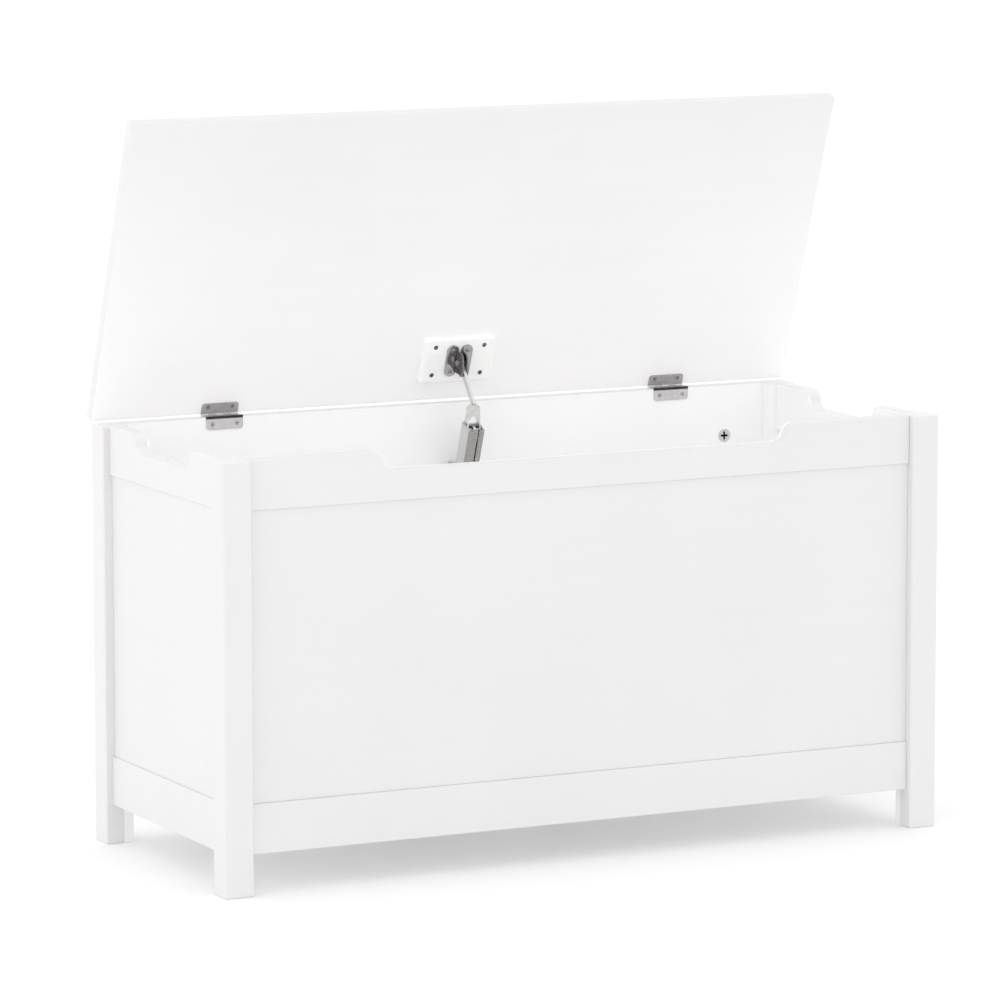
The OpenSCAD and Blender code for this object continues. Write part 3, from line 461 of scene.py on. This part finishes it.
def cam_zinc_shaded_recess():
    """Cast zinc with painted shade: near black inside the cross recess, below the face of the cam.
    """
    material, tree, shader = steel("cam_zinc_shaded_recess", (0.66, 0.66, 0.66), 0.32, mottle=0.08)
    deep = add(tree, "ShaderNodeSeparateXYZ", {0: even_place(tree)}).outputs[1]
    behind = spread(tree, deep, CAM_BACK_FACE, CAM_BACK_FACE + CAM_STEP, 0.0, 1.0)
    ahead = spread(tree, deep, CAM_FRONT_FACE - CAM_STEP, CAM_FRONT_FACE, 1.0, 0.0)
    base = shader.inputs["Base Color"].links[0].from_socket
    tree.links.new(blend_colour(tree, math_node(tree, "ADD", behind, ahead), base,
                                (0.03, 0.03, 0.03)), shader.inputs["Base Color"])
    return material


def hinge_leaf_shaded_bend():
    """Zinc plated leaf with painted shade: dark along the bend beside the knuckles."""
    material, tree, shader = steel("leaf_zinc_shaded_bend", (0.62, 0.61, 0.61), 0.34, (1.0, 0.15, 1.0))
    deep, high = add(tree, "ShaderNodeSeparateXYZ", {0: even_place(tree)}).outputs[1:3]
    bend = math_node(tree, "MULTIPLY", spread(tree, high, BEND_LOW, BEND_HIGH, 0.0, 1.0),
                     spread(tree, deep, BEND_FRONT, BEND_BACK, 1.0, 0.0))
    base = shader.inputs["Base Color"].links[0].from_socket
    tree.links.new(blend_colour(tree, bend, base, (0.05, 0.05, 0.05)),
                   shader.inputs["Base Color"])
    return material


wear(["cam_locks"], cam_zinc_shaded_recess())
wear(["hinge_box_leaf_left", "hinge_box_leaf_right"], hinge_leaf_shaded_bend())
wear(["hinge_box_screws"], steel("box_leaf_screw", (0.44, 0.44, 0.44), 0.4)[0])
wear(["hinge_lid_screws"], steel("lid_leaf_screw", (0.34, 0.33, 0.33), 0.4)[0])
wear(["clevis_left", "clevis_right"], clevis_steel_dark_reflection())
wear(["stay_channel"], channel_steel_shaded_front())

BOARD_EDGE, TOP_RAIL_EDGE, PLATE_EDGE, SHEET_EDGE = 0.5 * MM, 1.3 * MM, 0.6 * MM, 0.18 * MM
TOP_RAILS = ["front_top_rail", "left_top_rail", "right_top_rail"]
soften([n for n in ACROSS + DEEP + UPRIGHT if n not in TOP_RAILS] + ["lid_board"],
       BOARD_EDGE)
soften(TOP_RAILS, TOP_RAIL_EDGE, 3)
soften(["stay_plate"], PLATE_EDGE)
soften(["hinge_box_leaf_left", "hinge_box_leaf_right", "hinge_lid_leaf_left",
        "hinge_lid_leaf_right", "clevis_left", "clevis_right", "stay_arm", "stay_channel",
        "stay_bracket"], SHEET_EDGE)


# ---- the spring as one coiled wire

def mesh_from_grid(points, wrap_u, wrap_v):
    """A mesh from an (u, v, 3) grid of points; wrapped directions close on themselves."""
    nu, nv = points.shape[:2]
    u = np.arange(nu if wrap_u else nu - 1)
    v = np.arange(nv if wrap_v else nv - 1)
    uu, vv = np.meshgrid(u, v, indexing="ij")
    un, vn = (uu + 1) % nu, (vv + 1) % nv
    quads = np.stack([uu * nv + vv, un * nv + vv, un * nv + vn, uu * nv + vn], -1).reshape(-1, 4)
    return points.reshape(-1, 3), quads.tolist()


SPRING_TURNS, SPRING_END_TURNS = 8.0, 1.0
SPRING_MID_R, SPRING_WIRE_R = 5.6 * MM, 0.9 * MM
SPRING_LOW, SPRING_HIGH = -58.95 * MM, -15.55 * MM
SPRING_OUT = 71.5 * MM


def coil_spring(name):
    """A round wire swept along a helix about the rod: the helix angle a runs to twice pi
    times the turns, its height eases to level at both ends so that they lie flat, and the
    wire's circle is drawn with the helix's outward and upward directions."""
    turns, ends = SPRING_TURNS, SPRING_END_TURNS
    mid_r, wire_r = SPRING_MID_R, SPRING_WIRE_R
    low, high = SPRING_LOW, SPRING_HIGH
    steps, around = 420, 14
    t = np.linspace(0.0, 1.0, steps)
    angle = 2 * math.pi * (turns + 2 * ends) * t
    turn = t * (turns + 2 * ends)
    climb = np.clip((turn - ends) / turns, 0.0, 1.0)
    flat = wire_r * 2 * (np.clip(turn, 0, ends) + np.clip(turn - turns - ends, 0, ends))
    height = low + wire_r + flat + climb * (high - low - 2 * wire_r - 4 * wire_r * ends)
    centre = np.stack([mid_r * np.cos(angle), mid_r * np.sin(angle), height], -1)
    ahead = np.gradient(centre, axis=0)
    ahead /= np.linalg.norm(ahead, axis=1, keepdims=True)
    outward = np.stack([np.cos(angle), np.sin(angle), 0 * angle], -1)
    up = np.cross(ahead, outward)
    ring = np.linspace(0, 2 * math.pi, around, endpoint=False)
    points = (centre[:, None] + wire_r * (np.cos(ring)[None, :, None] * outward[:, None]
                                          + np.sin(ring)[None, :, None] * up[:, None]))
    verts, faces = mesh_from_grid(points, False, True)
    ends_of_wire = [list(range(around))[::-1],
                    list(range((steps - 1) * around, steps * around))]
    lean = np.array(Matrix.Rotation(LID_LEAN, 3, "X"))
    verts = verts + np.array([0, -SPRING_OUT, 0])
    verts = verts @ lean.T + np.array([STAY_X, PIN_Y, PIN_Z])
    mesh = bpy.data.meshes.new(name)
    mesh.from_pydata(verts.tolist(), [], faces + ends_of_wire)
    mesh.polygons.foreach_set("use_smooth", [True] * len(faces) + [False] * 2)
    mesh.update()
    obj = bpy.data.objects.new(name, mesh)
    bpy.context.scene.collection.objects.link(obj)
    mesh.materials.append(bright_zinc)
    return obj


spring = coil_spring("spring_coil")
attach(spring, "channel")
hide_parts("stay_spring")


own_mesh(spring)


# ---- floor, light and camera

FLOOR_HALF = 60.0
SKY = 1.13
LAMPS = [("key_lamp", (-5.5, -0.6, 2.6), 4.0, 22.0)]
# a weak card of light inside the box, which the camera and the reflections don't see
CARD_PLACE = (0.0, -0.15, 0.45)
CARD_WIDTH, CARD_HEIGHT, CARD_POWER, CARD_TURN = 0.85, 0.05, 0.045, 100.0


def floor_and_light():
    """A wide pale floor, an even sky, one large soft lamp and a card that fills the box."""
    size = FLOOR_HALF
    mesh = bpy.data.meshes.new("studio_floor")
    mesh.from_pydata([(-size, -size, 0), (size, -size, 0), (size, size, 0), (-size, size, 0)],
                     [], [(0, 1, 2, 3)])
    floor = bpy.data.objects.new("studio_floor", mesh)
    bpy.context.scene.collection.objects.link(floor)
    material, tree, shader = new_material("studio_floor")
    even = own_coordinates(tree)
    patches = noise(tree, even, 2.0, 2.0, 0.5)
    tree.links.new(blend_colour(tree, patches, (0.975, 0.975, 0.975), (0.98, 0.98, 0.98)),
                   shader.inputs["Base Color"])
    shader.inputs["Roughness"].default_value = 0.9
    shader.inputs["Specular IOR Level"].default_value = 0.1
    mesh.materials.append(material)

    world = bpy.data.worlds.new("even_sky")
    world.use_nodes = True
    sky = world.node_tree.nodes["Background"]
    sky.inputs[0].default_value = (1.0, 1.0, 1.0, 1.0)
    sky.inputs[1].default_value = SKY
    bpy.context.scene.world = world

    card = bpy.data.lights.new("fill_card", "AREA")
    card.shape = "RECTANGLE"
    card.size, card.size_y = CARD_WIDTH, CARD_HEIGHT
    card.energy = CARD_POWER
    fill = bpy.data.objects.new("fill_card", card)
    fill.location = CARD_PLACE
    fill.rotation_euler = (math.radians(CARD_TURN), 0.0, 0.0)
    fill.visible_camera = False
    fill.visible_glossy = False
    bpy.context.scene.collection.objects.link(fill)

    for name, place, width, power in LAMPS:
        data = bpy.data.lights.new(name, "AREA")
        data.shape = "DISK"
        data.size = width
        data.energy = power
        lamp = bpy.data.objects.new(name, data)
        lamp.location = place
        aim = Vector((0.0, 0.0, 0.25)) - Vector(place)
        lamp.rotation_mode = "QUATERNION"
        lamp.rotation_quaternion = aim.to_track_quat("-Z", "Y")
        bpy.context.scene.collection.objects.link(lamp)




CAMERA_PLACE = Vector((-3109.1, -6167.5, 1410.0)) * MM
CAMERA_HEADING, CAMERA_DIP, CAMERA_ROLL = 0.4639315, 0.1443545, -0.00084
SENSOR_WIDTH, LENS_PER_SENSOR = 36.0, 5.829745


def camera():
    """The camera, turned by its heading from the depth axis, its dip and a slight roll."""
    place = CAMERA_PLACE
    heading, dip, roll = CAMERA_HEADING, CAMERA_DIP, CAMERA_ROLL
    ahead = Vector((math.sin(heading) * math.cos(dip), math.cos(heading) * math.cos(dip),
                    -math.sin(dip)))
    right = Vector((math.cos(heading), -math.sin(heading), 0.0))
    up = right.cross(ahead)
    right, up = (math.cos(roll) * right + math.sin(roll) * up,
                 math.cos(roll) * up - math.sin(roll) * right)
    data = bpy.data.cameras.new("view_camera")
    data.sensor_width = SENSOR_WIDTH
    data.lens = SENSOR_WIDTH * LENS_PER_SENSOR
    data.clip_start, data.clip_end = 0.1, 200.0
    cam = bpy.data.objects.new("view_camera", data)
    cam.matrix_world = Matrix((
        (right.x, up.x, -ahead.x, place.x), (right.y, up.y, -ahead.y, place.y),
        (right.z, up.z, -ahead.z, place.z), (0, 0, 0, 1)))
    bpy.context.scene.collection.objects.link(cam)
    bpy.context.scene.camera = cam


floor_and_light()
camera()
bpy.context.scene.cycles.diffuse_bounces = 12
bpy.context.scene.cycles.max_bounces = 16
bpy.context.scene.view_settings.view_transform = "Standard"
bpy.context.scene.view_settings.look = "None"
